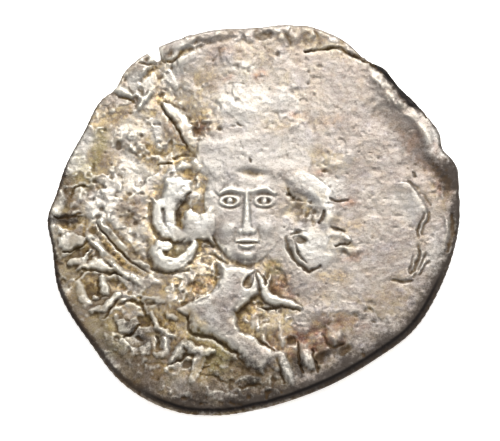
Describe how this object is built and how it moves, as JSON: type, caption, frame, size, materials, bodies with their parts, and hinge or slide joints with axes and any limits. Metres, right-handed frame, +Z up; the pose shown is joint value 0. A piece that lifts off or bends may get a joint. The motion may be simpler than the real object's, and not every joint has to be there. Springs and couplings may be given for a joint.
{
  "type": "hammered silver penny",
  "caption": "Worn hammered silver coin, thin irregular disc with a crowned facing bust on one face and a long cross with pellets on the other.",
  "frame": {"origin": "centre of the coin's outline at its underside, where the worn cross of the reverse rests", "axes": "+Z up out of the face with the bust, +X to the right across the bust, +Y towards the top of the crown"},
  "size_m": [0.018, 0.0174, 0.0008],
  "materials": {
    "old_silver": "worn toned silver with brown earth in the recesses"
  },
  "bodies": {
    "root": {"penny": "old_silver"}
  },
  "joints": []
}
